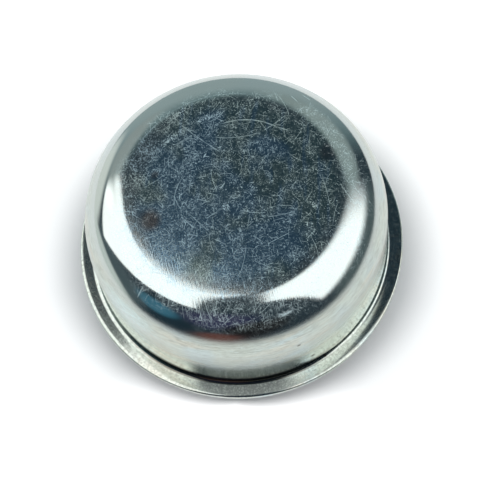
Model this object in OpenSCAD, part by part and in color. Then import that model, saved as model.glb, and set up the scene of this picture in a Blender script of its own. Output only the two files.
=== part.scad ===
// Dust cap for a wheel hub, pressed from one sheet of steel.
// The closed end, the shoulder, the wall, the folded collar and the skirt are the same sheet.
// Origin: centre of the skirt's open rim. +Z runs along the cap's axis, towards its closed end.

/* [Sheet] */
// Thickness of the steel sheet
sheet_t = 0.6; // [0.5:0.05:0.8]

/* [Press-in skirt] */
// Outside diameter of the skirt, which is the hub bore that it is pressed into
skirt_d = 55.5; // [44:0.1:72]
// Length of the skirt, from its open rim to the underside of the collar
skirt_l = 6; // [4.5:0.1:9]
// Length of the tapered lead-in at the skirt's open rim
lead_l = 1.5; // [0.8:0.1:2]
// Angle at which the lead-in narrows towards the rim
lead_a = 12; // [5:1:18]

/* [Collar] */
// How far the collar stands out from the skirt
collar_w = 3.25; // [2.9:0.05:4.5]
// Gap left between the two layers of the folded collar
fold_gap = 0.06; // [0.04:0.01:0.12]
// Radius in the corner between the skirt and the underside of the collar
seat_r = 0.6; // [0.4:0.05:0.8]
// Radius in the crease between the wall and the top of the collar
crease_r = 0.5; // [0.4:0.05:1]
// Radius of the two corners on the outside of the fold, which the press squares up
edge_r = 0.3; // [0.25:0.05:0.6]

/* [Wall and closed end] */
// How far the foot of the wall stands out from the skirt
foot_step = 0.3; // [0:0.05:0.4]
// Angle at which the wall narrows towards the closed end
wall_draft = 3.3; // [0:0.1:5]
// Height of the closed end above the underside of the collar
cap_h = 22.8; // [18:0.1:30]
// Outside radius of the shoulder between the wall and the closed end
shoulder_r = 8.8; // [5:0.1:11]

/* [Hidden] */
// Sides of a full circle in the preview
$fn = 144;
// How far the hollow is cut past the open rim
overrun = 1;

collar_t = 2 * sheet_t + fold_gap;
collar_top = skirt_l + collar_t;
total_h = skirt_l + cap_h;
skirt_r = skirt_d / 2;
foot_r = skirt_r + foot_step;
collar_r = skirt_r + collar_w;
// Radius of the two corners at the closed end of the gap inside the fold
gap_end_r = fold_gap / 3;

// Direction square to the wall, pointing out of the cap
wall_out = [cos(wall_draft), sin(wall_draft)];

// Radius of the wall's straight line at height z, which is foot_r at the top of the collar
function wall_r(z) = foot_r - (z - collar_top) * tan(wall_draft);

// Centre of an arc of radius r at height z that touches the wall, inside it (side 1) or outside it (side -1)
function beside_wall(z, r, side) = [wall_r(z) - side * r / cos(wall_draft), z];

shoulder_c = beside_wall(total_h - shoulder_r, shoulder_r, 1);
crease_c = beside_wall(collar_top + crease_r, crease_r, -1);
seat_c = [skirt_r + seat_r, skirt_l - seat_r];

// Radius of the lead-in's line at height z, for a surface that lies inset inside the sheet's outside
function lead_r(z, inset) = skirt_r - (lead_l - z) * tan(lead_a) - inset / cos(lead_a);

// Radius of the fold's two corners, for a surface that lies inset inside the sheet's outside
function fold_r(inset) = max(edge_r - inset, gap_end_r);

// Centre of the fold's corner beside the collar's face at height z, which is its underside (side 1)
// or its top (side -1)
function fold_c(z, side, inset) = [
    collar_r - inset - fold_r(inset),
    z + side * (inset + fold_r(inset))
];

// Half section of the space that the cap fills, from its axis to a surface that lies inset inside
// the sheet's outside. Outward bends lose the inset from their radius, and inward bends gain it.
module half_section(inset, bottom_z) {
    low_c = fold_c(skirt_l, 1, inset);
    high_c = fold_c(collar_top, -1, inset);
    difference() {
        union() {
            polygon([
                [0, bottom_z],
                [lead_r(bottom_z, inset), bottom_z],
                [skirt_r - inset, lead_l + inset * tan(lead_a / 2)],
                [skirt_r - inset, seat_c.y],
                [seat_c.x, skirt_l + inset],
                [low_c.x, skirt_l + inset],
                [collar_r - inset, low_c.y],
                [collar_r - inset, high_c.y],
                [high_c.x, collar_top - inset],
                [crease_c.x, collar_top - inset],
                crease_c - (crease_r + inset) * wall_out,
                shoulder_c + (shoulder_r - inset) * wall_out,
                [shoulder_c.x, total_h - inset],
                [0, total_h - inset]
            ]);
            translate(shoulder_c) circle(r = shoulder_r - inset);
            translate(low_c) circle(r = fold_r(inset));
            translate(high_c) circle(r = fold_r(inset));
        }
        translate(crease_c) circle(r = crease_r + inset);
        translate(seat_c) circle(r = seat_r + inset);
    }
}

// The bent sheet, turned about the cap's axis
module dust_cap() {
    color("silver")
    rotate_extrude()
    difference() {
        half_section(0, 0);
        half_section(sheet_t, -overrun);
    }
}

dust_cap();
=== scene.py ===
"""Pressed, zinc-plated dust cap for a wheel hub, standing open end down on a white sheet."""

import math

import bmesh
import bpy
from bpy.props import FloatProperty, FloatVectorProperty, IntProperty, PointerProperty
from mathutils import Matrix, Vector, noise


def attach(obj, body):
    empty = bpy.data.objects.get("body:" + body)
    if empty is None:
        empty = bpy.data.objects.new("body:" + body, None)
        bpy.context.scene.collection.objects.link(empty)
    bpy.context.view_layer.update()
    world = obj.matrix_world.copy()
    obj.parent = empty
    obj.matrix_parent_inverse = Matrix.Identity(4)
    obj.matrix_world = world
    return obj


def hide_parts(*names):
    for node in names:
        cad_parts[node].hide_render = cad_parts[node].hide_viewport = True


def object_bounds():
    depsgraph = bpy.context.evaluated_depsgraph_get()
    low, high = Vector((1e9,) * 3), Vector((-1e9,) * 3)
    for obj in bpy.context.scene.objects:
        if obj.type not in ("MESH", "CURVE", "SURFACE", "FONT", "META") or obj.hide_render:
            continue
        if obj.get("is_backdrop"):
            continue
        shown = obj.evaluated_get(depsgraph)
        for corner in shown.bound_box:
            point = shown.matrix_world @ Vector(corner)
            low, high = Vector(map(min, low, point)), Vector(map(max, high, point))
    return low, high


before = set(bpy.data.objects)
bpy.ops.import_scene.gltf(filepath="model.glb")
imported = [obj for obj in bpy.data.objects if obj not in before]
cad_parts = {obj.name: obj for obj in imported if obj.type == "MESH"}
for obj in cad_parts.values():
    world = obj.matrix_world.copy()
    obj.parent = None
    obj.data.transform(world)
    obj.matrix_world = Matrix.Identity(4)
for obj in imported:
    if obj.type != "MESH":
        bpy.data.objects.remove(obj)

bl_info = {
    "name": "Hub dust cap",
    "version": (1, 0, 0),
    "blender": (4, 5, 0),
    "location": "View3D > Sidebar > Dust cap",
    "description": "A pressed, zinc-plated dust cap, its finish and its photo studio",
    "category": "Object",
}

NODE = "dust_cap"
PIECE = "dust_cap_shell"
MM = 0.001
CAD_LOW, CAD_HIGH = (tuple(corner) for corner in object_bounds())
INNER = "inner_face"


class CapShape(bpy.types.PropertyGroup):
    """Sizes of the bent sheet"""
    collar_radius: FloatProperty(
        name="Collar radius", description="Outside radius of the folded collar",
        default=CAD_HIGH[0], unit="LENGTH")
    height: FloatProperty(
        name="Height", description="From the open rim to the closed end",
        default=CAD_HIGH[2], unit="LENGTH")
    sheet: FloatProperty(
        name="Sheet thickness", description="Thickness of the steel sheet",
        default=0.6 * MM, unit="LENGTH")
    fold_gap: FloatProperty(
        name="Fold gap", description="Gap between the two layers of the collar",
        default=0.06 * MM, unit="LENGTH")
    skirt_radius: FloatProperty(
        name="Skirt radius", description="Outside radius of the press-in skirt",
        default=27.75 * MM, unit="LENGTH")
    skirt_length: FloatProperty(
        name="Skirt length", description="From the open rim to the underside of the collar",
        default=6.0 * MM, unit="LENGTH")
    lead_length: FloatProperty(
        name="Lead-in length", description="Length of the tapered lead-in at the open rim",
        default=1.5 * MM, unit="LENGTH")
    lead_angle: FloatProperty(
        name="Lead-in angle", description="Angle at which the lead-in narrows",
        default=math.radians(12), unit="ROTATION")
    foot_step: FloatProperty(
        name="Foot step", description="How far the foot of the wall stands out from the skirt",
        default=0.3 * MM, unit="LENGTH")
    draft: FloatProperty(
        name="Wall draft", description="Angle at which the wall narrows towards the closed end",
        default=math.radians(3.3), unit="ROTATION")
    shoulder: FloatProperty(
        name="Shoulder radius", description="Outside radius of the shoulder",
        default=8.8 * MM, unit="LENGTH")
    crease: FloatProperty(
        name="Crease radius", description="Radius between the wall and the collar's top",
        default=0.5 * MM, unit="LENGTH")
    fold: FloatProperty(
        name="Fold radius", description="Radius of the two pressed corners of the collar's edge",
        default=0.3 * MM, unit="LENGTH")
    gap_end: FloatProperty(
        name="Gap end radius", description="Radius of the corners at the closed end of the fold's gap",
        default=0.02 * MM, unit="LENGTH")
    seat: FloatProperty(
        name="Seat radius", description="Radius between the skirt and the collar's underside",
        default=0.6 * MM, unit="LENGTH")
    edge_break: FloatProperty(
        name="Edge break", description="Rounding of the cut edges at the open rim",
        default=0.08 * MM, unit="LENGTH")
    waviness: FloatProperty(
        name="Waviness", description="Depth of the press's slight waves in the sheet",
        default=0.012 * MM, unit="LENGTH")
    dish: FloatProperty(
        name="Collar dish", description="Angle at which the pressed collar rises towards its edge",
        default=math.radians(3.0), unit="ROTATION")
    turns: IntProperty(
        name="Steps round the axis", description="Steps of the spin about the cap's axis",
        default=320, min=48)


class ZincLook(bpy.types.PropertyGroup):
    """Colours and polish of the plate"""
    plate: FloatVectorProperty(
        name="Plate", description="Colour of the bright zinc plate",
        subtype="COLOR", default=(0.56, 0.61, 0.55))
    cool: FloatVectorProperty(
        name="Cool tint", description="Blue-green tint of the passivated plate",
        subtype="COLOR", default=(0.53, 0.61, 0.60))
    warm: FloatVectorProperty(
        name="Warm tint", description="Straw tint of the passivated plate",
        subtype="COLOR", default=(0.60, 0.60, 0.52))
    clean: FloatVectorProperty(
        name="Clean plate", description="Colour of the plate on the shoulder",
        subtype="COLOR", default=(0.53, 0.565, 0.55))
    crown_blue: FloatVectorProperty(
        name="Crown blue", description="Blue tint of the rubbed closed end",
        subtype="COLOR", default=(0.38, 0.60, 0.76))
    crown_green: FloatVectorProperty(
        name="Crown green", description="Green-grey tint of the rubbed closed end",
        subtype="COLOR", default=(0.48, 0.61, 0.56))
    stain: FloatVectorProperty(
        name="Stain", description="Brown tint of the stains on the closed end",
        subtype="COLOR", default=(0.47, 0.41, 0.38))
    # Besides the specks and the grime, this colour paints shade into the wall's foot and the crease at the
    # front
    dirt_and_shade: FloatVectorProperty(
        name="Dirt", description="Colour of the specks, the grime and the dirt in the crease",
        subtype="COLOR", default=(0.10, 0.09, 0.07))
    scuffed: FloatVectorProperty(
        name="Scuffs", description="Colour of the plate where it is scratched",
        subtype="COLOR", default=(0.72, 0.86, 0.86))
    polish: FloatProperty(
        name="Polish", description="Roughness of the clean plate", default=0.095, min=0, max=1)
    inner_polish: FloatProperty(
        name="Inner polish", description="Roughness of the plate inside the cap", default=0.36, min=0, max=1)
    grain_depth: FloatProperty(
        name="Grain depth", description="Depth of the fine grain on the worn closed end",
        default=0.0045 * MM, unit="LENGTH")


class Studio(bpy.types.PropertyGroup):
    """The white sheet, the lamps and the camera"""
    lamp_radiance: FloatProperty(
        name="Lamp radiance", description="Radiance of the two long soft boxes", default=1.73)
    paper: FloatVectorProperty(
        name="Paper", description="Colour of the white sheet",
        subtype="COLOR", default=(0.90, 0.90, 0.90))
    paper_lift: FloatProperty(
        name="Paper lift", description="Glow that brings the lit sheet up to white beyond the collar",
        default=0.52)
    view_distance: FloatProperty(
        name="View distance", description="From the camera to the middle of the collar",
        default=196.964 * MM, unit="LENGTH")
    view_elevation: FloatProperty(
        name="View elevation", description="How steeply the camera looks down",
        default=math.radians(68.276), unit="ROTATION")
    view_roll: FloatProperty(
        name="View roll", description="How far the camera leans to the right",
        default=math.radians(10.343), unit="ROTATION")
    lens: FloatProperty(name="Lens", description="Focal length", default=76.40, unit="CAMERA")


# The bent sheet

def corner(r, z, radius=0.0, steps=1, cuts=0):
    """One corner of the section: its place, its bend, and the cuts in the straight before it."""
    return {"at": Vector((r, 0.0, z)), "radius": radius, "steps": steps, "cuts": cuts}


# Radius of the bend at which the lead-in begins
KNEE_RADIUS = 1.0 * MM


def section_corners(shape):
    """Corners of the bent sheet, from the closed end down the outside and back up the inside."""
    top, t, low = shape.height, shape.sheet, shape.skirt_length
    high = low + 2 * t + shape.fold_gap
    foot = shape.skirt_radius + shape.foot_step
    skin = t / math.cos(shape.draft)
    rim = shape.skirt_radius - shape.lead_length * math.tan(shape.lead_angle)
    rim_skin = t / math.cos(shape.lead_angle)
    knee = shape.lead_length + t * math.tan(shape.lead_angle / 2)
    outer, inner = shape.collar_radius, shape.skirt_radius - t

    def wall(z):
        return foot - (z - high) * math.tan(shape.draft)

    return [
        corner(0, top),
        corner(wall(top), top, shape.shoulder, 40, 14),
        corner(foot, high, shape.crease, 8, 10),
        corner(outer, high, shape.fold, 7, 4),
        corner(outer, low, shape.fold, 7, 2),
        corner(shape.skirt_radius, low, shape.seat, 7, 3),
        corner(shape.skirt_radius, shape.lead_length, KNEE_RADIUS, 3, 3),
        corner(rim, 0, shape.edge_break, 3, 1),
        corner(rim - rim_skin, 0, shape.edge_break, 3),
        corner(inner, knee, KNEE_RADIUS, 3, 1),
        corner(inner, low + t, shape.seat + t, 7, 3),
        corner(outer - t, low + t, shape.gap_end, 2, 3),
        corner(outer - t, high - t, shape.gap_end, 2),
        corner(wall(high - t) - skin, high - t, shape.crease + t, 7, 3),
        corner(wall(top - t) - skin, top - t, shape.shoulder - t, 18, 6),
        corner(0, top - t, cuts=8),
    ]


def draw_straight(bm, tip, end, cuts):
    """Runs the wire from its tip straight to the end, with the given cuts on the way."""
    start = tip.co.copy()
    for step in range(1, cuts + 2):
        grown = bmesh.ops.extrude_vert_indiv(bm, verts=[tip])
        tip = grown["verts"][0]
        tip.co = start.lerp(end, step / (cuts + 1))
    return tip


def draw_section(bm, corners):
    """Draws the section as one wire that is bent round the radius of each corner.

    The vertices past the open rim inherit the mark of the sheet's inner face.
    """
    inner = bm.verts.layers.float.new(INNER)
    tip = bm.verts.new(corners[0]["at"])
    for before, here, after in zip(corners, corners[1:], corners[2:]):
        if before["at"].z == 0:
            tip[inner] = 1.0
        along = (here["at"] - before["at"]).normalized()
        away = (after["at"] - here["at"]).normalized()
        axis = along.cross(away).normalized()
        turn = along.angle(away)
        start = here["at"] - along * here["radius"] * math.tan(turn / 2)
        tip = draw_straight(bm, tip, start, here["cuts"])
        bend = bmesh.ops.spin(
            bm, geom=[tip], cent=start + axis.cross(along) * here["radius"], axis=axis,
            dvec=(0, 0, 0), angle=turn, steps=here["steps"], use_duplicate=False)
        tip = next(v for v in bend["geom_last"] if isinstance(v, bmesh.types.BMVert))
    draw_straight(bm, tip, corners[-1]["at"], corners[-1]["cuts"])


# Vertices nearer to each other than this are joined at the poles
MERGE_GAP = 0.0001 * MM


def spin_section(bm, turns):
    """Turns the section once about the cap's axis and closes both poles."""
    bmesh.ops.spin(
        bm, geom=bm.verts[:] + bm.edges[:], cent=(0, 0, 0), axis=(0, 0, 1), dvec=(0, 0, 0),
        angle=math.tau, steps=turns, use_merge=True, use_duplicate=False)
    bmesh.ops.remove_doubles(bm, verts=bm.verts, dist=MERGE_GAP)
    bmesh.ops.recalc_face_normals(bm, faces=bm.faces)


# Waves of the pressing: their size, how far above the collar's underside they start and over what
# height they grow, and the height up to which they move the sheet level towards the axis
WAVE_SIZE = 9 * MM
WAVE_START = 3 * MM
WAVE_GROWTH = 4 * MM
WAVE_LEVEL = 16 * MM


def wave_sheet(bm, shape):
    """Gives the sheet the slight waves of a pressing, always towards its inside."""
    for v in bm.verts:
        swell = 0.5 + 0.5 * noise.noise(v.co / WAVE_SIZE)
        reach = min(1.0, max(0.0, (v.co.z - shape.skirt_length - WAVE_START) / WAVE_GROWTH))
        inward = -Vector((v.co.x, v.co.y, max(0.0, v.co.z - WAVE_LEVEL))).normalized()
        v.co += inward * shape.waviness * swell * reach


# Places where the press has flattened the collar: middle angle, half angle and degrees flattened
COLLAR_FLATS = ((230, 26, 1.1), (300, 36, 2.4))

# The dished zone: how far below and above the collar's underside it goes, and how far from the
# skirt it starts
DISH_BELOW = 0.1 * MM
DISH_ABOVE = 1.4 * MM
DISH_START = 0.8 * MM


def dish_collar(bm, shape):
    """Lets both layers of the collar rise a little towards the edge, less where they lie flat."""
    for v in bm.verts:
        r = math.hypot(v.co.x, v.co.y)
        if not shape.skirt_length - DISH_BELOW < v.co.z < shape.skirt_length + DISH_ABOVE:
            continue
        angle = math.degrees(math.atan2(v.co.y, v.co.x))
        rise = math.degrees(shape.dish)
        for middle, half, flattened in COLLAR_FLATS:
            off = abs((angle - middle + 180) % 360 - 180) / half
            rise -= flattened * (0.5 + 0.5 * math.cos(math.pi * min(1.0, off)))
        v.co.z += max(0.0, r - shape.skirt_radius - DISH_START) * math.tan(math.radians(rise))


def build_shell(shape):
    """Builds the whole cap as one closed sheet and returns its object."""
    bm = bmesh.new()
    draw_section(bm, section_corners(shape))
    spin_section(bm, shape.turns)
    bm.normal_update()
    wave_sheet(bm, shape)
    dish_collar(bm, shape)
    mesh = bpy.data.meshes.new(PIECE)
    bm.to_mesh(mesh)
    bm.free()
    mesh.shade_smooth()
    shell = bpy.data.objects.new(PIECE, mesh)
    bpy.context.scene.collection.objects.link(shell)
    return shell


# Node helpers

class Graph:
    """Short names for adding and joining the nodes of one tree."""

    def __init__(self, tree):
        self.tree = tree

    def add(self, kind, **settings):
        node = self.tree.nodes.new(kind)
        for name, value in settings.items():
            setattr(node, name, value)
        return node

    def put(self, socket, value):
        """Links a socket or sets a plain value; None leaves the socket as it is."""
        if isinstance(value, bpy.types.NodeSocket):
            self.tree.links.new(value, socket)
        elif value is not None:
            socket.default_value = value

    def math(self, operation, a, b=None, clamp=False):
        node = self.add("ShaderNodeMath", operation=operation, use_clamp=clamp)
        for socket, value in zip(node.inputs, (a, b)):
            self.put(socket, value)
        return node.outputs[0]

    def plus(self, a, b):
        return self.math("ADD", a, b)

    def less(self, a, b):
        return self.math("SUBTRACT", a, b)

    def times(self, a, b):
        return self.math("MULTIPLY", a, b)

    def most(self, a, b):
        return self.math("MAXIMUM", a, b)

    def vector(self, operation, a, b=None, scale=None):
        """Vector arithmetic; the node's socket 3 is its scale."""
        node = self.add("ShaderNodeVectorMath", operation=operation)
        self.put(node.inputs[0], a)
        self.put(node.inputs[1], b)
        self.put(node.inputs[3], scale)
        return node.outputs["Value" if operation in ("DOT_PRODUCT", "LENGTH", "DISTANCE") else "Vector"]

    def ramp(self, value, low, high, to_low=0.0, to_high=1.0, smooth=True):
        """Turns a value between low and high into one between to_low and to_high."""
        kind = "SMOOTHSTEP" if smooth else "LINEAR"
        node = self.add("ShaderNodeMapRange", interpolation_type=kind)
        for socket, part in zip(node.inputs, (value, low, high, to_low, to_high)):
            self.put(socket, part)
        return node.outputs[0]

    def fade(self, value, limits):
        """A ramp over a length; the first two of its four limits are in mm."""
        low, high, to_low, to_high = limits
        return self.ramp(value, low * MM, high * MM, to_low, to_high)

    def split(self, vector):
        node = self.add("ShaderNodeSeparateXYZ")
        self.put(node.inputs[0], vector)
        return node.outputs

    def join(self, x, y, z):
        node = self.add("ShaderNodeCombineXYZ")
        for socket, value in zip(node.inputs, (x, y, z)):
            self.put(socket, value)
        return node.outputs[0]

    def mix(self, factor, a, b):
        """Mixes two colours, which are the node's sockets 6 and 7 and its output 2."""
        node = self.add("ShaderNodeMix", data_type="RGBA")
        self.put(node.inputs["Factor"], factor)
        self.put(node.inputs[6], a)
        self.put(node.inputs[7], b)
        return node.outputs[2]

    def noise(self, vector, scale, detail=2.0, rough=0.5):
        node = self.add("ShaderNodeTexNoise", noise_dimensions="3D")
        for name, value in (("Vector", vector), ("Scale", scale), ("Detail", detail), ("Roughness", rough)):
            self.put(node.inputs[name], value)
        return node.outputs[0]

    def group(self, tree, **values):
        """Adds a node group; each value goes to the socket of its name."""
        node = self.add("ShaderNodeGroup", node_tree=tree)
        for name, value in values.items():
            self.put(node.inputs[name.capitalize()], value)
        return node.outputs


def new_group(name, inputs, outputs):
    """A node group with named sockets; returns its graph and its inner ends."""
    tree = bpy.data.node_groups.new(name, "ShaderNodeTree")
    for label, kind, value in inputs:
        socket = tree.interface.new_socket(label, in_out="INPUT", socket_type=kind)
        if value is not None:
            socket.default_value = value
    for label, kind in outputs:
        tree.interface.new_socket(label, in_out="OUTPUT", socket_type=kind)
    graph = Graph(tree)
    return graph, graph.add("NodeGroupInput").outputs, graph.add("NodeGroupOutput").inputs


def colour(rgb):
    """A colour with full alpha, as the sockets take it."""
    return (*rgb, 1.0)


NUMBER, PLACE = "NodeSocketFloat", "NodeSocketVector"

# Hairlines: how far each seed moves the cells, then, in cells, the longest half length and the
# shortest one that is drawn, and the part of it from which a line thins out
SEED_MOVE = (17.3, 7.9)
LINE_LONGEST = 0.55
LINE_SHORTEST = 0.02
LINE_SOLID = 0.6


def hairline_group():
    """Short, slightly curved scratches that lie at random angles, one to a cell."""
    g, ask, give = new_group(
        "hairlines",
        [("Place", PLACE, None), ("Cell", NUMBER, 0.004), ("Width", NUMBER, 0.00004),
         ("Share", NUMBER, 0.6), ("Seed", NUMBER, 0.0)],
        [("Mask", NUMBER)])
    shift = g.join(g.times(ask["Seed"], SEED_MOVE[0]), g.times(ask["Seed"], SEED_MOVE[1]), 0.0)
    spot = g.vector("ADD", g.vector("SCALE", ask["Place"], scale=g.math("DIVIDE", 1.0, ask["Cell"])), shift)
    cells = g.add("ShaderNodeTexVoronoi", voronoi_dimensions="2D", feature="F1")
    g.put(cells.inputs["Vector"], spot)
    g.put(cells.inputs["Scale"], 1.0)
    chance = g.split(cells.outputs["Color"])
    turned = g.add("ShaderNodeVectorRotate", rotation_type="Z_AXIS")
    g.put(turned.inputs["Vector"], g.vector("SUBTRACT", spot, cells.outputs["Position"]))
    g.put(turned.inputs["Angle"], g.times(chance[0], math.tau))
    along, across, _ = g.split(turned.outputs[0])
    bow = g.times(g.less(chance[1], 0.5), g.times(along, along))
    across = g.math("ABSOLUTE", g.plus(across, bow))
    reach = g.ramp(chance[2], g.less(1.0, ask["Share"]), 1.0, 0.0, LINE_LONGEST, smooth=False)
    half = g.math("DIVIDE", ask["Width"], ask["Cell"])
    thin = g.ramp(across, 0.0, half, 1.0, 0.0)
    ends = g.ramp(g.math("ABSOLUTE", along), g.times(reach, LINE_SOLID), reach, 1.0, 0.0)
    real = g.math("GREATER_THAN", reach, LINE_SHORTEST)
    g.put(give["Mask"], g.times(g.times(thin, ends), real))
    return g.tree


# Named marks of the closed end

# Scratches that stand out: start and end on the closed end in mm, half width in mm, strength
STROKES = (
    ((-7.2, 15.4), (-4.2, 11.8), 0.11, 0.80),
    ((-5.4, 13.2), (-2.4, 9.8), 0.10, 0.80),
    ((-3.4, 10.9), (-0.4, 7.8), 0.10, 0.80),
    ((-3.9, 7.5), (-3.1, 8.5), 0.16, 0.95),
    ((-3.8, 7.9), (-2.6, 7.6), 0.12, 0.80),
    ((-2.0, 1.0), (-0.7, 2.3), 0.15, 0.95),
    ((-2.2, 1.4), (-1.0, 1.5), 0.12, 0.80),
    ((-8.9, -1.0), (-3.9, -7.9), 0.08, 0.65),
    ((-8.8, -6.6), (-5.2, -2.1), 0.07, 0.60),
    ((-7.1, 14.4), (-4.0, 12.8), 0.10, 0.70),
    ((-12.5, -7.7), (-11.2, -6.7), 0.11, 0.80),
    ((-10.1, -7.0), (-9.3, -9.0), 0.09, 0.70),
    ((-6.6, -1.5), (-2.6, -0.1), 0.08, 0.60),
    ((4.6, -1.0), (4.3, -3.4), 0.09, 0.65),
    ((6.5, -3.7), (10.6, -4.5), 0.08, 0.65),
    ((0.0, 13.6), (3.8, 13.8), 0.16, 0.70),
    ((2.6, 13.9), (6.4, 13.2), 0.17, 0.75),
    ((5.2, 13.6), (8.6, 12.1), 0.17, 0.75),
    ((7.4, 12.7), (10.4, 10.8), 0.16, 0.70),
    ((9.2, 11.4), (12.4, 9.6), 0.14, 0.65),
    ((13.4, 17.3), (14.7, 15.0), 0.09, 0.70),
    ((15.4, 17.5), (17.1, 15.4), 0.08, 0.65),
    ((-17.4, -13.6), (-19.0, -15.2), 0.15, 0.90),
    ((3.8, -23.3), (6.8, -22.2), 0.17, 0.80),
    ((3.4, -22.5), (6.1, -23.1), 0.12, 0.70),
)

# Places rubbed pale: start and end in mm, half width in mm, strength
RUBS = (
    ((-12.4, 10.9), (-4.6, 14.6), 0.9, 0.60),
    ((-5.2, 14.5), (1.0, 16.1), 0.8, 0.55),
    ((-8.8, 15.9), (-4.0, 19.0), 0.6, 0.60),
    ((-1.6, -0.6), (-1.2, -4.4), 0.9, 0.65),
    ((13.2, -4.2), (13.9, -6.2), 0.6, 0.80),
    ((10.9, -7.6), (13.1, -9.0), 0.8, 0.60),
    ((14.8, -7.8), (16.4, -8.5), 0.6, 0.60),
    ((-11.0, -8.4), (-10.8, -12.0), 0.5, 0.55),
    ((4.0, 5.4), (6.2, 7.0), 0.6, 0.50),
)

# Brown stains: start and end in mm, half width in mm, strength
STAINS = (
    ((-17.0, -1.8), (-12.4, -2.8), 2.6, 1.0),
    ((16.4, 5.6), (19.4, 3.4), 2.4, 0.8),
    ((-13.2, 6.6), (-12.2, 5.4), 1.0, 0.6),
)

# Scratches round the axis: radius and half width in mm, middle angle, half angle, strength
RINGS = (
    (19.5, 0.16, 92, 28, 0.35),
    (19.3, 0.25, 128, 14, 0.40),
)

# How much steeper than a plain cone a patch rises from its edge
PATCH_GAIN = 1.8

# Parts of a ring's half angle and half width from which it fades
RING_SOLID = 0.6
RING_CORE = 0.3


def patch(g, place, start, end, width):
    """A tapered patch between two points of the closed end, seen square on, as a mask."""
    run = Vector(end) - Vector(start)
    middle = (Vector(end) + Vector(start)) / 2
    frame_of = g.add("ShaderNodeMapping", vector_type="TEXTURE")
    g.put(frame_of.inputs["Vector"], place)
    g.put(frame_of.inputs["Location"], (middle.x * MM, middle.y * MM, 0.0))
    g.put(frame_of.inputs["Rotation"], (0.0, 0.0, math.atan2(run.y, run.x)))
    g.put(frame_of.inputs["Scale"], (run.length / 2 * MM, width * MM, 1.0))
    cone = g.add("ShaderNodeTexGradient", gradient_type="SPHERICAL")
    g.put(cone.inputs["Vector"], frame_of.outputs[0])
    return g.math("MULTIPLY", cone.outputs["Fac"], PATCH_GAIN, clamp=True)


def patches_of(g, place, rows):
    """The strongest of a list of patches at each point."""
    total = 0.0
    for start, end, width, strength in rows:
        mask = patch(g, place, start, end, width)
        total = g.most(total, g.times(mask, strength))
    return total


def rings_of(g, at):
    """The scratches that run round the axis, as one mask."""
    total = 0.0
    angle = g.math("ARCTAN2", at.y, at.x)
    for radius, width, middle, spread, strength in RINGS:
        off = g.math("ABSOLUTE", g.less(at.radius, radius * MM))
        turned = g.math("ABSOLUTE", g.less(angle, math.radians(middle)))
        ends = g.ramp(turned, math.radians(spread * RING_SOLID), math.radians(spread), strength, 0.0)
        line = g.ramp(off, width * RING_CORE * MM, width * MM, 1.0, 0.0)
        total = g.most(total, g.times(line, ends))
    return total


# Finish. Here a grain is a noise's scale per metre, its detail and its roughness. A ramp is the two
# limits between which a mask changes and its value at either. A fade is a ramp whose limits are a
# height above the open rim, a distance or a place across the cap, in mm. A spot is an azimuth in
# degrees, a distance from the axis and a height above the open rim in mm.

def tail(g, value, low, high, power, top):
    """Turns noise into a mask that is mostly faint, with few strong spots."""
    spread = g.ramp(value, low, high, smooth=False)
    return g.times(g.math("POWER", spread, power), top)


def stretched_noise(g, place, stretch, grain):
    """Noise that changes faster up the wall than round it, which draws lines round the wall."""
    return g.noise(g.vector("MULTIPLY", place, (1, 1, stretch)), *grain)


def turned_noise(g, place, angle, length, width, detail=1.0):
    """Noise stretched into streaks that all run one way; length and width in mm."""
    frame_of = g.add("ShaderNodeMapping", vector_type="TEXTURE")
    g.put(frame_of.inputs["Vector"], place)
    g.put(frame_of.inputs["Rotation"], (0.0, 0.0, math.radians(angle)))
    g.put(frame_of.inputs["Scale"], (length * MM, width * MM, length * MM))
    return g.noise(frame_of.outputs[0], 1.0, detail)


def spot_at(azimuth, radius, height):
    """A spot's place in metres."""
    return tuple(direction(azimuth, 90) * radius * MM + Vector((0, 0, height * MM)))


def near(g, place, spot, limits):
    """A mask that fades with the distance from a spot."""
    return g.fade(g.vector("DISTANCE", place, spot_at(*spot)), limits)


# The rubbed zone takes in the closed end and the upper shoulder and reaches lower at the front
# right: its middle in mm, how far its edge wanders in mm, its edge and its lowest height
RUBBED_MIDDLE = (1.4, -2.4)
RUBBED_WANDER = 6
RUBBED_EDGE = (21.0, 23.8, 1.0, 0.0)
RUBBED_FLOOR = (19, 21, 0.0, 1.0)

# Fades in height that tell the flat closed end and the collar from the rest
FLAT_EDGE = (28.70, 28.79, 0.0, 1.0)
COLLAR_EDGE = (7.4, 7.7, 1.0, 0.0)

# Grain of the slow changes over the whole plate
BROAD_GRAIN = (160.0, 3.0)


class Zones:
    """The places and the zones of the cap's surface, as sockets of one tree."""

    def __init__(self, g):
        self.g = g
        self.place = g.add("ShaderNodeTexCoord").outputs["Object"]
        self.x, self.y, self.z = g.split(self.place)
        self.level = g.join(self.x, self.y, 0.0)
        self.radius = g.vector("LENGTH", self.level)
        self.inner = g.add("ShaderNodeAttribute", attribute_name=INNER).outputs["Fac"]
        self.outer = g.less(1.0, self.inner)
        self.broad = g.noise(self.place, *BROAD_GRAIN)
        reach = self.distance_from(RUBBED_MIDDLE, RUBBED_WANDER)
        rubbed = g.times(g.fade(reach, RUBBED_EDGE), g.fade(self.z, RUBBED_FLOOR))
        self.rubbed = g.times(rubbed, self.outer)
        self.flat = g.times(g.fade(self.z, FLAT_EDGE), self.outer)
        self.collar = g.times(g.fade(self.z, COLLAR_EDGE), self.outer)

    def distance_from(self, middle, wander):
        """Distance seen from above from a point in mm, which wanders by some mm."""
        off = self.g.vector("DISTANCE", self.level, (middle[0] * MM, middle[1] * MM, 0))
        return self.g.plus(off, self.g.times(self.g.less(self.broad, 0.5), wander * MM))


# Fine marks: the grain and tail of the larger flecks and of the dust
FLECK_GRAIN = (3900.0, 2.0, 0.65)
FLECK_TAIL = (0.34, 0.80, 2.6, 1.0)
DUST_GRAIN = (6200.0, 1.0)
DUST_TAIL = (0.28, 0.76, 1.8, 0.45)

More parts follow.
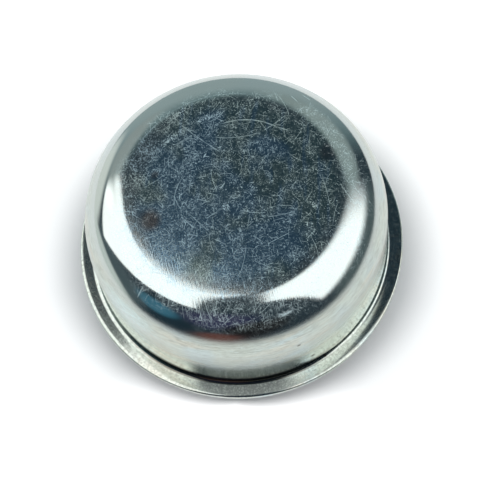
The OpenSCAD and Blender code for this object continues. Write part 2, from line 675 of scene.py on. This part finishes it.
# Cell in mm, half width in mm, share and strength of each layer of hairlines
HAIRLINES = (
    (11.0, 0.055, 0.60, 0.80), (7.5, 0.055, 0.65, 0.80), (4.4, 0.050, 0.70, 0.75),
    (3.1, 0.050, 0.75, 0.75), (1.9, 0.045, 0.80, 0.70),
)

# Layers of fine streaks: their angles, their length and width in mm, and their tail
STREAK_ANGLES = (8, 47, 88, 125, 160)
STREAK_SIZE = (1.6, 0.17)
STREAK_TAIL = (0.42, 0.84, 2.6, 0.8)

# Longer streaks that run from front to back, stronger at the front: angle, length and width in mm,
# tail, and fade across the closed end
COMBED = (93, 3.2, 0.17)
COMBED_TAIL = (0.38, 0.82, 2.2, 0.7)
COMBED_FADE = (-14, -3, 1.0, 0.25)

# How the flecks break up the rubbed places, the named scratches and everything else
RUB_RAMP = (0.0, 0.35, 0.28, 1.3)
STROKE_RAMP = (0.0, 0.25, 0.62, 1.05)
FLECK_RAMP = (0.0, 0.4, 0.5, 1.0)


def scratches_of(g, at):
    """How strongly the many fine marks scratch each point, and the flecks among them."""
    lines = hairline_group()
    flecks = tail(g, g.noise(at.place, *FLECK_GRAIN), *FLECK_TAIL)
    dust = tail(g, g.noise(at.place, *DUST_GRAIN), *DUST_TAIL)
    total = g.most(flecks, dust)
    for seed, (cell, width, share, strength) in enumerate(HAIRLINES, 1):
        layer = g.group(
            lines, place=at.place, cell=cell * MM, width=width * MM, share=share, seed=float(seed))
        total = g.most(total, g.times(layer["Mask"], strength))
    for angle in STREAK_ANGLES:
        streaks = turned_noise(g, at.place, angle, *STREAK_SIZE)
        total = g.most(total, tail(g, streaks, *STREAK_TAIL))
    combed = tail(g, turned_noise(g, at.place, *COMBED), *COMBED_TAIL)
    total = g.most(total, g.times(combed, g.fade(at.y, COMBED_FADE)))
    rubs = g.times(patches_of(g, at.place, RUBS), g.ramp(flecks, *RUB_RAMP))
    return g.most(total, rubs), flecks


# Lines drawn round the wall by the press: stretch, grain, tail and the height at which they begin
DRAWN_STRETCH = 7
DRAWN_GRAIN = (900.0, 2.0, 0.6)
DRAWN_TAIL = (0.40, 0.80, 2.0, 0.40)
DRAWN_FOOT = (8.5, 12, 0.0, 1.0)

# Height at which the wall's wear ends, and the worn place at the wall's left
WALL_TOP = (24, 26, 1.0, 0.0)
LEFT_SPOT = (216, 27.0, 22)
LEFT_FADE = (2, 9, 0.30, 0.0)

# The collar's dull front, the grain and tail of its upper face, and that face's inner and outer edge
FRONT_SPOT = (264, 29.5, 7)
FRONT_FADE = (6, 13, 0.90, 0.0)
FACE_GRAIN = (1500.0, 2.0, 0.6)
FACE_TAIL = (0.48, 0.75, 1.5, 0.35)
FACE_INSIDE = (28.50, 28.75, 0.0, 1.0)
FACE_OUTSIDE = (30.50, 30.72, 1.0, 0.0)


def side_wear(g, at):
    """The lighter wear of the wall and the collar, as one mask."""
    wall = g.times(g.fade(at.z, WALL_TOP), g.less(1.0, at.collar))
    drawn = tail(g, stretched_noise(g, at.place, DRAWN_STRETCH, DRAWN_GRAIN), *DRAWN_TAIL)
    drawn = g.plus(drawn, near(g, at.place, LEFT_SPOT, LEFT_FADE))
    drawn = g.times(drawn, g.fade(at.z, DRAWN_FOOT))
    dull = near(g, at.place, FRONT_SPOT, FRONT_FADE)
    dull = g.plus(dull, tail(g, g.noise(at.place, *FACE_GRAIN), *FACE_TAIL))
    dull = g.times(dull, g.fade(at.radius, FACE_INSIDE))
    dull = g.times(dull, g.fade(at.radius, FACE_OUTSIDE))
    return g.plus(g.times(drawn, wall), g.times(dull, at.collar))


# Patchiness of the fine marks: its grain and ramp, how much of it the stains take away, and its
# fade from the left to the right
PATCHY_GRAIN = (420.0, 4.0, 0.7)
PATCHY_RAMP = (0.30, 0.70, 0.62, 1.22)
STAIN_COVER = 0.35
LEFT_TO_RIGHT = (-16, 16, 1.08, 0.86)

# Range of the fine marks that shows, its contrast, and its fade down the shoulder
WEAR_RANGE = (0.12, 0.54)
WEAR_CONTRAST = 1.15
SHOULDER_FADE = (25.5, 27.5, 0.12, 0.87)


def wear_of(g, at, stains):
    """How far the bright zinc is worn at each point of the outside."""
    wear, flecks = scratches_of(g, at)
    patchy = g.ramp(g.noise(at.place, *PATCHY_GRAIN), *PATCHY_RAMP)
    patchy = g.less(patchy, g.times(stains, STAIN_COVER))
    patchy = g.times(patchy, g.fade(at.x, LEFT_TO_RIGHT))
    wear = g.ramp(g.times(wear, patchy), *WEAR_RANGE, smooth=False)
    shown = g.times(at.rubbed, g.fade(at.z, SHOULDER_FADE))
    wear = g.times(g.math("POWER", wear, WEAR_CONTRAST), shown)
    broken = g.ramp(flecks, *FLECK_RAMP)
    strokes = g.times(patches_of(g, at.place, STROKES), g.ramp(flecks, *STROKE_RAMP))
    wear = g.most(wear, g.most(strokes, g.times(rings_of(g, at), broken)))
    wear = g.most(wear, g.times(side_wear(g, at), broken))
    return g.times(wear, at.outer)


# Painted shade at the wall's foot and in the crease at the front: its middle, its fade along the wall, its
# fade in height and its outer edge
FOOT_SPOT = (256, 28.0, 8)
FOOT_FADE = (12, 24, 0.78, 0.0)
FOOT_HEIGHT = (7.8, 11.2, 1.0, 0.0)
FOOT_OUTSIDE = (28.55, 28.75, 1.0, 0.0)


def painted_foot_shade(g, at):
    """Painted shade that darkens the wall's foot and the crease at the front, as one mask."""
    shade = g.times(near(g, at.place, FOOT_SPOT, FOOT_FADE), g.fade(at.z, FOOT_HEIGHT))
    shade = g.times(shade, g.fade(at.radius, FOOT_OUTSIDE))
    return g.times(shade, at.outer)


# Dark specks: azimuth, distance from the axis, height above the open rim and half width in mm
SPECKS = (
    (284, 27.30, 20.2, 0.50),
    (289, 27.82, 11.3, 0.55),
    (294, 28.20, 7.5, 0.40),
)

# Part of a speck's half width that is solid, and its strength
SPECK_CORE = 0.4
SPECK_STRENGTH = 0.95


def specks_of(g, place):
    """The small pits and dirt spots of the wall, as one mask."""
    total = 0.0
    for azimuth, radius, height, width in SPECKS:
        mask = near(g, place, (azimuth, radius, height), (width * SPECK_CORE, width, SPECK_STRENGTH, 0.0))
        total = g.most(total, mask)
    return total


# Tints of the wall: where it turns cool, where streaks turn it warm, and how clean it is high up
COOL_RAMP = (0.40, 0.65)
WARM_STRETCH = 5
WARM_GRAIN = (90.0, 3.0, 0.55)
WARM_RAMP = (0.45, 0.70)
HIGH_FADE = (24, 26.5, 0.0, 1.0)
CLEAN_SHARE = 0.8

# Grime: stretched round the wall, unstretched on the collar
GRIME_STRETCH = 8
GRIME_GRAIN = (500.0, 4.0, 0.7)
COLLAR_GRIME = (2400.0, 3.0, 0.7)
GRIME_RAMP = (0.40, 0.68, 0.0, 0.34)


def wall_tint(g, at, look, drift):
    """Colours of the passivated plate outside the closed end."""
    high = g.fade(at.z, HIGH_FADE)
    low = g.less(1.0, high)
    wall = g.mix(g.ramp(drift, *COOL_RAMP), colour(look.plate), colour(look.cool))
    warm = stretched_noise(g, at.place, WARM_STRETCH, WARM_GRAIN)
    wall = g.mix(g.times(g.ramp(warm, *WARM_RAMP), low), wall, colour(look.warm))
    wall = g.mix(g.times(high, CLEAN_SHARE), wall, colour(look.clean))
    grime = stretched_noise(g, at.place, GRIME_STRETCH, GRIME_GRAIN)
    speckle = g.noise(at.place, *COLLAR_GRIME)
    grime = g.plus(grime, g.times(at.collar, g.less(speckle, grime)))
    return g.mix(g.times(g.ramp(grime, *GRIME_RAMP), low), wall, colour(look.dirt_and_shade))


# Tints of the closed end: the way in which blue takes over from green, as a change per metre, and
# the ramp between them, then blue streaks by angle, length and width in mm and detail, and their ramp
BLUE_WAY = (-5.0, -4.0, 0.0)
BLUE_RAMP = (0.40, 0.60)
BLUE_STREAKS = (78, 7.0, 1.3, 2.0)
BLUE_STREAK_RAMP = (0.52, 0.68, 0.0, 0.7)


def crown_tint(g, at, look, drift, stains):
    """Colours of the closed end."""
    blue = g.ramp(g.plus(drift, g.vector("DOT_PRODUCT", at.place, BLUE_WAY)), *BLUE_RAMP)
    crown = g.mix(blue, colour(look.crown_green), colour(look.crown_blue))
    streaks = g.ramp(turned_noise(g, at.place, *BLUE_STREAKS), *BLUE_STREAK_RAMP)
    crown = g.mix(streaks, crown, colour(look.crown_blue))
    return g.mix(stains, crown, colour(look.stain))


# Grain of the plate's tints, and the closed end's tinted middle with its wander and its edge
DRIFT_GRAIN = (110.0, 2.0, 0.5)
TINT_MIDDLE = (0.8, 0.6)
TINT_WANDER = 5
TINT_EDGE = (15.6, 18.8, 1.0, 0.0)

# Share of the tints in the worn plate of the closed end and of the collar, and the wear at which the
# worn plate's colour is reached
CROWN_SHARE = 0.50
WARM_SHARE = 0.7
WORN_RAMP = (0.0, 0.4)


def base_colour(g, at, look, wear, stains):
    """Colour of the plate with its tints, wear, painted shade at the wall's foot and specks."""
    drift = g.noise(at.place, *DRIFT_GRAIN)
    crown = crown_tint(g, at, look, drift, stains)
    tinted = g.times(at.flat, g.fade(at.distance_from(TINT_MIDDLE, TINT_WANDER), TINT_EDGE))
    tint = g.mix(tinted, wall_tint(g, at, look, drift), crown)
    worn = g.mix(g.times(at.flat, CROWN_SHARE), colour(look.scuffed), crown)
    worn = g.mix(g.times(at.collar, WARM_SHARE), worn, colour(look.warm))
    base = g.mix(g.ramp(wear, *WORN_RAMP), tint, worn)
    # Painted shade: the dark colour darkens the wall's foot and the crease at the front
    base = g.mix(painted_foot_shade(g, at), base, colour(look.dirt_and_shade))
    return g.mix(specks_of(g, at.place), base, colour(look.dirt_and_shade))


# Roughness: how far the polish wanders, and a haze on the upper wall that thins out downwards
POLISH_WANDER = 0.04
HAZE_TOP = (24.6, 27.2, 0.20, 0.0)
HAZE_FOOT = (10, 18, 0.1, 1.0)


def roughness_of(g, at, look):
    """Roughness of the polished outside, its haze and the satin inside."""
    rough = g.plus(look.polish, g.times(g.less(at.broad, 0.5), POLISH_WANDER))
    haze = g.times(g.fade(at.z, HAZE_TOP), g.fade(at.z, HAZE_FOOT))
    rough = g.plus(rough, g.times(haze, g.less(1.0, at.collar)))
    return g.ramp(at.inner, 0.0, 1.0, rough, look.inner_polish, smooth=False)


# Fine relief of the rubbed zone: angle, length and width of its streaks in mm
RUBBED_STREAKS = (92, 1.6, 0.2)


def zinc_plate(look):
    """Bright zinc plate, rubbed and scratched on the closed end and smooth on the wall."""
    material = bpy.data.materials.new("bright_zinc_plate")
    material.use_nodes = True
    material.node_tree.nodes.clear()
    g = Graph(material.node_tree)
    at = Zones(g)
    stains = g.times(patches_of(g, at.place, STAINS), at.flat)
    wear = wear_of(g, at, stains)

    fine = g.add("ShaderNodeBump")
    g.put(fine.inputs["Strength"], 1.0)
    g.put(fine.inputs["Distance"], look.grain_depth)
    g.put(fine.inputs["Height"], g.times(turned_noise(g, at.place, *RUBBED_STREAKS), at.rubbed))

    shader = g.add("ShaderNodeBsdfPrincipled")
    g.put(shader.inputs["Metallic"], g.math("SUBTRACT", 1.0, wear, clamp=True))
    g.put(shader.inputs["Base Color"], base_colour(g, at, look, wear, stains))
    g.put(shader.inputs["Roughness"], roughness_of(g, at, look))
    g.put(shader.inputs["Normal"], fine.outputs[0])
    g.put(g.add("ShaderNodeOutputMaterial").inputs["Surface"], shader.outputs[0])
    return material


# Stage

def direction(azimuth, zenith):
    """Unit vector towards a place in the room: azimuth from +X to +Y, zenith from straight up."""
    a, z = math.radians(azimuth), math.radians(zenith)
    return Vector((math.sin(z) * math.cos(a), math.sin(z) * math.sin(a), math.cos(z)))


# What the plate mirrors: azimuth, zenith, clear angle, faded angle (degrees) and colour
ROOM_FRONT = (0.020, 0.040, 0.057)
ROOM = (
    (90, 90, 42, 62, (0.20, 0.29, 0.31)),
    (90, 90, 20, 50, (0.42, 0.52, 0.54)),
    (180, 78, 14, 30, (0.10, 0.14, 0.16)),
    (175, 102, 22, 27, (0.80, 0.88, 0.86)),
    (350, 80, 20, 36, (0.10, 0.14, 0.15)),
    (245, 45, 8, 24, (0.035, 0.038, 0.10)),
    (270, 66, 10, 24, (0.012, 0.013, 0.015)),
    (208, 60, 7, 15, (0.06, 0.20, 0.29)),
    (248, 85, 7, 16, (0.20, 0.075, 0.06)),
    (290, 49, 1, 5, (0.45, 0.50, 0.55)),
    (50, 52, 10, 26, (0.36, 0.44, 0.44)),
    (125, 58, 8, 20, (0.42, 0.48, 0.48)),
    (139, 91, 12, 22, (0.95, 1.0, 0.97)),
)


def build_room():
    """The dark studio round the sheet, which shows white to the camera."""
    world = bpy.data.worlds.new("studio_room")
    world.use_nodes = True
    world.node_tree.nodes.clear()
    g = Graph(world.node_tree)
    sight = g.add("ShaderNodeTexCoord").outputs["Generated"]
    shade = colour(ROOM_FRONT)
    for azimuth, zenith, clear, faded, tone in ROOM:
        facing = g.vector("DOT_PRODUCT", sight, tuple(direction(azimuth, zenith)))
        mask = g.ramp(facing, math.cos(math.radians(faded)), math.cos(math.radians(clear)))
        shade = g.mix(mask, shade, colour(tone))
    seen = g.add("ShaderNodeLightPath").outputs["Is Camera Ray"]
    shade = g.mix(seen, shade, colour((1, 1, 1)))
    back = g.add("ShaderNodeBackground")
    g.put(back.inputs["Color"], shade)
    g.put(g.add("ShaderNodeOutputWorld").inputs["Surface"], back.outputs[0])
    bpy.context.scene.world = world


# The two long soft boxes: places, directions and sizes in a room whose unit is LAMP_REACH. Each one
# fades out over part of its width, from its long side 0 or 1, beyond a place along its length.
LAMP_REACH = 3.0
LAMPS = (
    {"name": "left_soft_box", "middle": (-0.385, 0.210, 0.409), "along": (-0.777, 0.543, -0.318),
     "facing": (0.416, 0.064, -0.907), "length": 0.745, "width": 0.387,
     "side": 0, "part": 0.25, "beyond": 0.35},
    {"name": "right_soft_box", "middle": (0.167, -0.042, 0.575), "along": (0.241, -0.173, -0.955),
     "facing": (-0.962, -0.173, -0.211), "length": 0.979, "width": 0.464,
     "side": 1, "part": 0.22, "beyond": -1.0},
)

# Part of the length over which the fading sets in, and the fade at a soft box's far end
FADE_SETS_IN = 0.4
LAMP_END = (0.90, 1.0, 1.0, 0.0)


def shade_lamp(data, lamp):
    """Lets a soft box fade out along one side and at its far end."""
    data.use_nodes = True
    data.node_tree.nodes.clear()
    g = Graph(data.node_tree)
    u, v, _ = g.split(g.add("ShaderNodeNewGeometry").outputs["Parametric"])
    fade = g.ramp(g.math("ABSOLUTE", g.less(v, lamp["side"])), 0.0, lamp["part"])
    fade = g.most(fade, g.ramp(u, lamp["beyond"], lamp["beyond"] + FADE_SETS_IN, 1.0, 0.0))
    glow = g.add("ShaderNodeEmission")
    g.put(glow.inputs["Strength"], g.times(fade, g.ramp(u, *LAMP_END)))
    g.put(g.add("ShaderNodeOutputLight").inputs["Surface"], glow.outputs[0])


def build_lamps(studio):
    """Two rectangular soft boxes, placed where the plate mirrors them."""
    for lamp in LAMPS:
        data = bpy.data.lights.new(lamp["name"], "AREA")
        data.shape = "RECTANGLE"
        data.size = lamp["length"] * LAMP_REACH
        data.size_y = lamp["width"] * LAMP_REACH
        data.energy = studio.lamp_radiance * math.pi * data.size * data.size_y
        shade_lamp(data, lamp)
        back = -Vector(lamp["facing"]).normalized()
        across = back.cross(Vector(lamp["along"]).normalized()).normalized()
        along = across.cross(back)
        turn = Matrix((along, across, back)).transposed().to_4x4()
        box = bpy.data.objects.new(lamp["name"], data)
        box.matrix_world = Matrix.Translation(Vector(lamp["middle"]) * LAMP_REACH) @ turn
        bpy.context.scene.collection.objects.link(box)


# Azimuth at which the cap's soft shadow on the sheet, partly cast by the lamps and partly painted by the
# sheet's glow, is narrowest
SHADOW_GAP = 258

# The sheet's glow, which is weak beside the cap and grows outwards and so paints a soft shadow round it: its
# strength beside the cap, the distance from the axis in mm at which it begins to grow and the nearest and
# farthest at which it is full, the turn away from SHADOW_GAP at which the farthest is reached, and the
# stronger glow that the camera sees in front, which paints the sheet lighter there
SHADOW_GLOW = 0.03
SHADOW_START = 29.5
SHADOW_END = (31.3, 41)
SHADOW_TURN = 0.87
FRONT_RAMP = (0.72, 0.98, 0.0, 0.9)

# Edges of the white sheet in metres: left, right, front and back
SHEET_EDGES = (-1.2, 0.9, -0.30, 0.14)


def build_paper(studio):
    """The white sheet that the cap stands on."""
    left, right, front, back = SHEET_EDGES
    bm = bmesh.new()
    bmesh.ops.create_grid(bm, x_segments=1, y_segments=1, size=0.5)
    bmesh.ops.scale(bm, vec=(right - left, back - front, 1), verts=bm.verts)
    bmesh.ops.translate(bm, vec=((left + right) / 2, (front + back) / 2, 0), verts=bm.verts)
    mesh = bpy.data.meshes.new("white_sheet")
    bm.to_mesh(mesh)
    bm.free()
    sheet = bpy.data.objects.new("white_sheet", mesh)
    bpy.context.scene.collection.objects.link(sheet)
    material = bpy.data.materials.new("white_paper")
    material.use_nodes = True
    material.node_tree.nodes.clear()
    g = Graph(material.node_tree)
    rays = g.add("ShaderNodeLightPath").outputs
    shown = g.most(rays["Is Camera Ray"], g.most(rays["Is Glossy Ray"], rays["Is Transmission Ray"]))
    matt = g.add("ShaderNodeBsdfDiffuse")
    g.put(matt.inputs["Color"], colour(studio.paper))
    glow = g.add("ShaderNodeEmission")
    spot = g.add("ShaderNodeTexCoord").outputs["Object"]
    facing = g.vector("DOT_PRODUCT", g.vector("NORMALIZE", spot), tuple(direction(SHADOW_GAP, 90)))
    turned = g.math("SQRT", g.less(1.0, facing))
    nearest, farthest = SHADOW_END
    edge = g.ramp(turned, 0.0, SHADOW_TURN, nearest * MM, farthest * MM, smooth=False)
    # Painted shadow: the glow is weak beside the cap and full only farther out, wider to the sides than in
    # front
    lift = g.ramp(g.vector("LENGTH", spot), SHADOW_START * MM, edge, SHADOW_GLOW, studio.paper_lift)
    # Painted light: the camera sees the sheet in front of the cap glow more strongly
    front = g.times(g.ramp(facing, *FRONT_RAMP), rays["Is Camera Ray"])
    lift = g.times(lift, g.plus(1.0, front))
    g.put(glow.inputs["Strength"], g.times(shown, lift))
    both = g.add("ShaderNodeAddShader")
    g.put(both.inputs[0], matt.outputs[0])
    g.put(both.inputs[1], glow.outputs[0])
    g.put(g.add("ShaderNodeOutputMaterial").inputs["Surface"], both.outputs[0])
    mesh.materials.append(material)
    sheet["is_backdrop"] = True


# Fine aim of the photo's camera, as tangents to the right and upwards
AIM_RIGHT, AIM_UP = -0.0003936, 0.0009598


def build_camera(studio, shape):
    """The photo's camera: steep, close and leaning a little to the right."""
    target = Vector((0, 0, shape.skirt_length))
    e = studio.view_elevation
    ahead = Vector((0, math.cos(e), -math.sin(e)))
    place = target - ahead * studio.view_distance
    right = Vector((1, 0, 0))
    up = right.cross(ahead)
    ahead = (ahead + right * AIM_RIGHT + up * AIM_UP).normalized()
    right = ahead.cross(up).normalized()
    up = right.cross(ahead)
    c, s = math.cos(studio.view_roll), math.sin(studio.view_roll)
    right, up = right * c - up * s, right * s + up * c
    data = bpy.data.cameras.new("photo_camera")
    data.sensor_width = 36.0
    data.lens = studio.lens
    data.clip_start, data.clip_end = 0.01, 50.0
    camera = bpy.data.objects.new("photo_camera", data)
    camera.matrix_world = Matrix.Translation(place) @ Matrix((right, up, -ahead)).transposed().to_4x4()
    bpy.context.scene.collection.objects.link(camera)
    bpy.context.scene.camera = camera


class CAP_OT_shell(bpy.types.Operator):
    """Builds the pressed cap and gives it its zinc plate"""
    bl_idname = "dust_cap.shell"
    bl_label = "Build the cap"

    def execute(self, context):
        shell = build_shell(context.scene.cap_shape)
        shell.data.materials.append(zinc_plate(context.scene.cap_zinc))
        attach(shell, "root")
        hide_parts(NODE)
        return {"FINISHED"}


class CAP_OT_stage(bpy.types.Operator):
    """Sets up the white sheet, the room, the lamps and the camera"""
    bl_idname = "dust_cap.stage"
    bl_label = "Build the stage"

    def execute(self, context):
        studio = context.scene.cap_studio
        build_room()
        build_lamps(studio)
        build_paper(studio)
        build_camera(studio, context.scene.cap_shape)
        context.scene.view_settings.view_transform = "Standard"
        return {"FINISHED"}


class CAP_PT_panel(bpy.types.Panel):
    """Offers the two steps that build the cap"""
    bl_idname = "CAP_PT_panel"
    bl_label = "Dust cap"
    bl_space_type = "VIEW_3D"
    bl_region_type = "UI"
    bl_category = "Dust cap"

    def draw(self, context):
        for step in (CAP_OT_shell, CAP_OT_stage):
            self.layout.operator(step.bl_idname)


CLASSES = (CapShape, ZincLook, Studio, CAP_OT_shell, CAP_OT_stage, CAP_PT_panel)


def register():
    """Registers the classes and gives the scene its settings."""
    for kind in CLASSES:
        bpy.utils.register_class(kind)
    bpy.types.Scene.cap_shape = PointerProperty(type=CapShape)
    bpy.types.Scene.cap_zinc = PointerProperty(type=ZincLook)
    bpy.types.Scene.cap_studio = PointerProperty(type=Studio)


def unregister():
    """Takes the settings and the classes away again."""
    del bpy.types.Scene.cap_studio, bpy.types.Scene.cap_zinc, bpy.types.Scene.cap_shape
    for kind in reversed(CLASSES):
        bpy.utils.unregister_class(kind)


def main():
    """Builds the cap and its stage."""
    register()
    bpy.ops.dust_cap.shell()
    bpy.ops.dust_cap.stage()
    bpy.context.view_layer.update()


if __name__ == "__main__":
    main()
